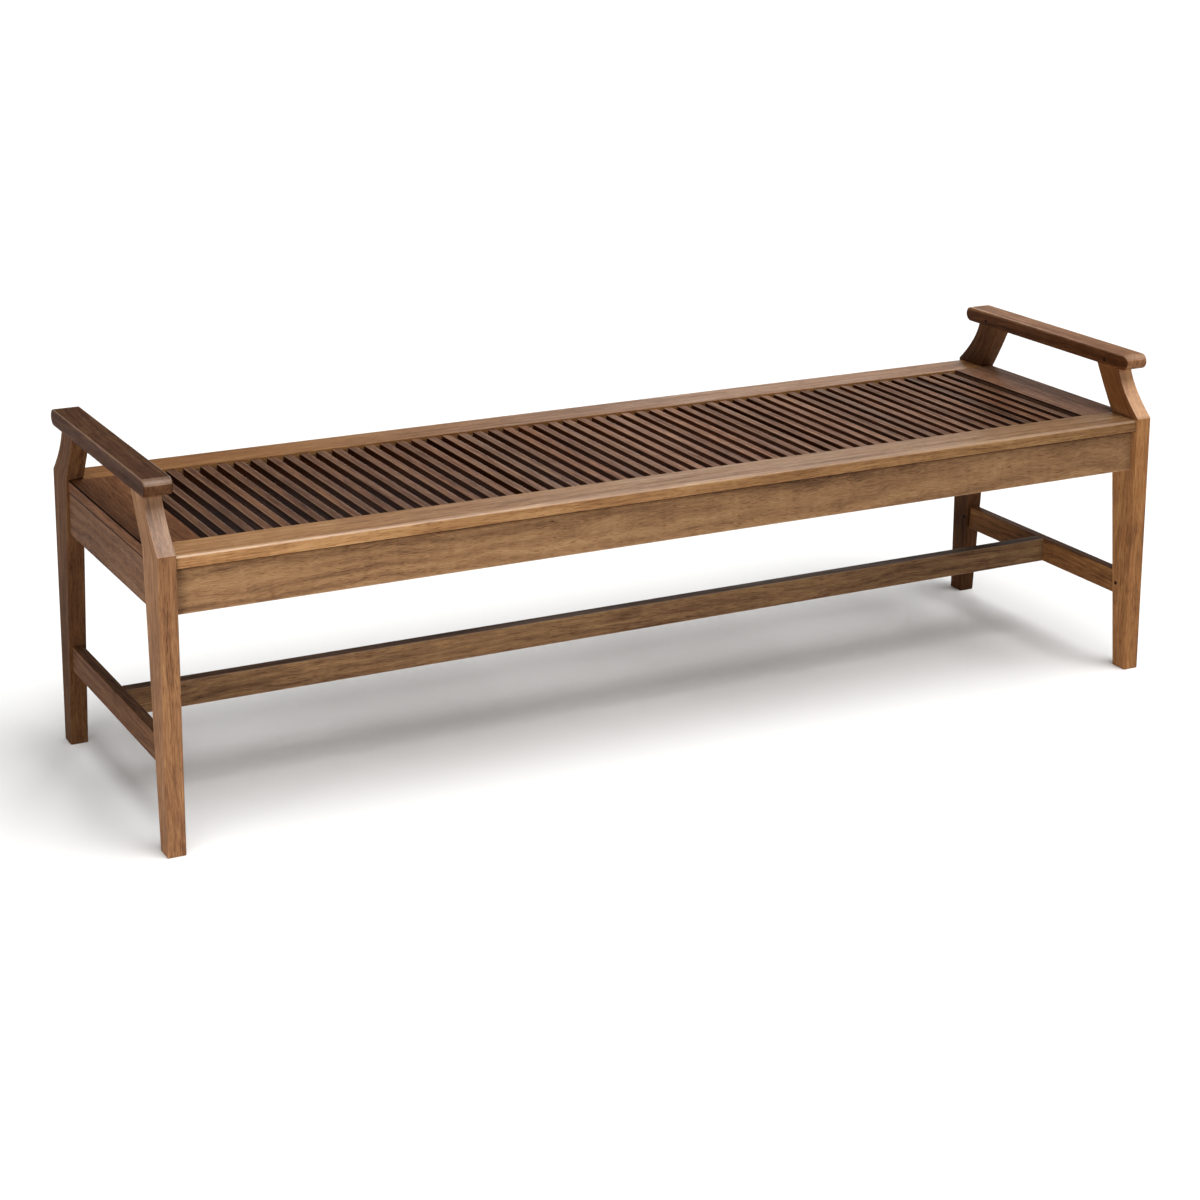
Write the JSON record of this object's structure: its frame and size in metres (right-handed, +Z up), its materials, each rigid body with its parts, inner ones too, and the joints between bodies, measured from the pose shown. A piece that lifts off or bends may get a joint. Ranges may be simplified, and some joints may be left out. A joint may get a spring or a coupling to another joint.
{
  "type": "garden bench",
  "caption": "Backless slatted hardwood garden bench with shaped legs, a bullnosed handle over each end and an H-stretcher.",
  "frame": {"origin": "on the ground, under the middle of the bench", "axes": "+X along the bench, +Z up; the front is -Y"},
  "size_m": [1.779, 0.524, 0.558],
  "materials": {
    "leg_wood": "oiled hardwood, satin, reddish tan",
    "armrest_wood": "oiled hardwood, satin, dark brown",
    "rail_wood": "oiled hardwood, satin, golden tan",
    "end_board_wood": "oiled hardwood, satin, grey brown",
    "apron_wood": "oiled hardwood, satin, mid brown, figured",
    "slat_wood": "oiled hardwood, satin, mauve and grey brown",
    "stretcher_wood": "oiled hardwood, satin, mid brown",
    "peg_wood": "dark hardwood pegs, end grain",
    "hidden_wood": "planed hardwood on unseen inner pieces",
    "screw_steel": "plain stainless steel"
  },
  "bodies": {
    "root": {"apron_back": "apron_wood", "apron_front": "apron_wood", "apron_left": "apron_wood", "apron_right": "apron_wood", "armrest_left": "armrest_wood", "armrest_peg_back_left": "peg_wood", "armrest_peg_back_right": "peg_wood", "armrest_peg_front_left": "peg_wood", "armrest_peg_front_right": "peg_wood", "armrest_right": "armrest_wood", "corner_block_back_left": "hidden_wood", "corner_block_back_right": "hidden_wood", "corner_block_front_left": "hidden_wood", "corner_block_front_right": "hidden_wood", "cross_brace_left": "hidden_wood", "cross_brace_right": "hidden_wood", "end_board_left": "end_board_wood", "end_board_right": "end_board_wood", "end_stretcher_left": "stretcher_wood", "end_stretcher_right": "stretcher_wood", "leg_back_left": "leg_wood", "leg_back_right": "leg_wood", "leg_front_left": "leg_wood", "leg_front_right": "leg_wood", "leg_peg_back_left": "peg_wood", "leg_peg_back_right": "peg_wood", "leg_peg_front_left": "peg_wood", "leg_peg_front_right": "peg_wood", "long_stretcher": "stretcher_wood", "long_stretcher_peg_left": "peg_wood", "long_stretcher_peg_right": "peg_wood", "seat_rail_back": "rail_wood", "seat_rail_front": "rail_wood", "seat_screw_back_left": "screw_steel", "seat_screw_back_right": "screw_steel", "seat_screw_front_left": "screw_steel", "seat_screw_front_right": "screw_steel", "slat_bank_01": "slat_wood", "slat_bank_02": "slat_wood", "slat_bank_03": "slat_wood", "slat_bank_04": "slat_wood", "slat_bank_05": "slat_wood", "slat_bank_06": "slat_wood", "slat_bank_07": "slat_wood", "slat_bank_08": "slat_wood", "slat_bank_09": "slat_wood", "slat_bank_10": "slat_wood", "slat_bank_11": "slat_wood", "slat_bank_12": "slat_wood", "slat_bank_13": "slat_wood", "slat_bank_14": "slat_wood"}
  },
  "joints": []
}
